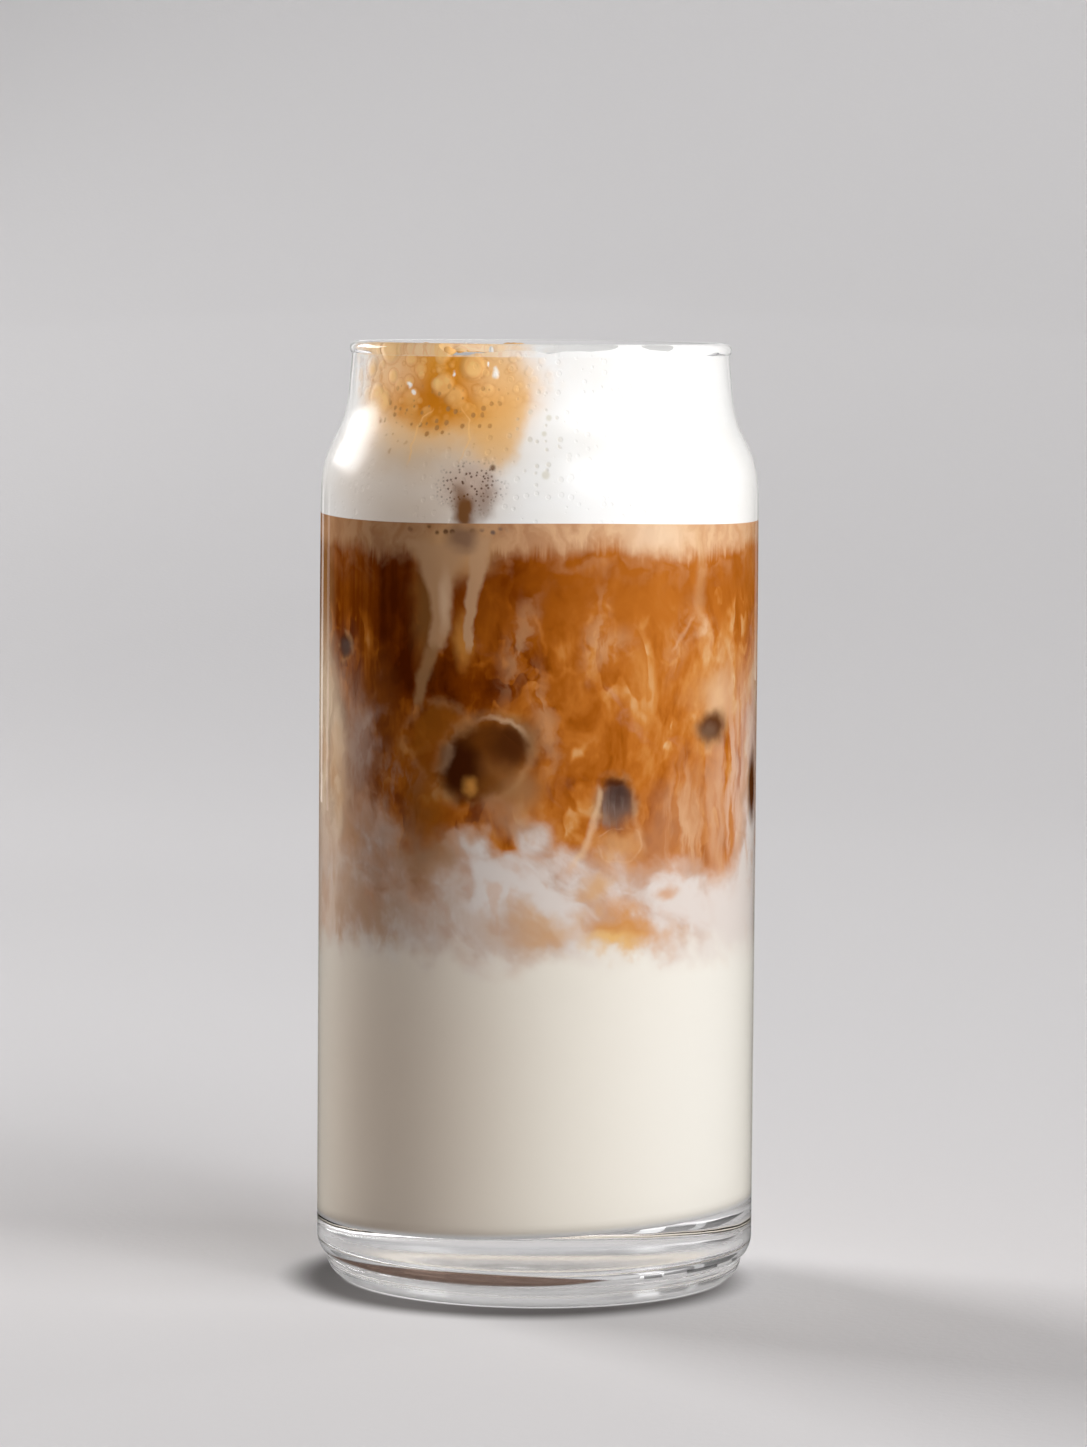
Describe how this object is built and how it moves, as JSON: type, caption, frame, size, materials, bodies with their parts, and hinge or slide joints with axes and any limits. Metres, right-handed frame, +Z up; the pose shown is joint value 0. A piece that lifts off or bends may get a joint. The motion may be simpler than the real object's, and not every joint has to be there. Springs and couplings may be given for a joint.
{
  "type": "iced spanish latte",
  "caption": "Iced latte in a can-shaped drinking glass: milk below, coffee above it, and milk foam with a pool of golden crema up to the lip.",
  "frame": {"origin": "centre of the glass's foot, on the surface that it stands on", "axes": "+Z up along the glass's axis, -Y towards the viewer of the shown side, +X to that viewer's right"},
  "size_m": [0.072, 0.072, 0.154],
  "materials": {
    "glass": "clear, polished, slightly wavy in the thick base",
    "milk": "opaque cream-white liquid, wet",
    "coffee": "amber-brown milky coffee with pale swirls, wet",
    "foam": "fine white milk foam with a few larger bubbles",
    "crema": "golden-brown coffee foam with large glossy bubbles"
  },
  "bodies": {
    "root": {"glass": "glass", "milk_layer": "milk", "coffee_layer": "coffee", "milk_foam": "foam", "crema": "crema"}
  },
  "joints": []
}
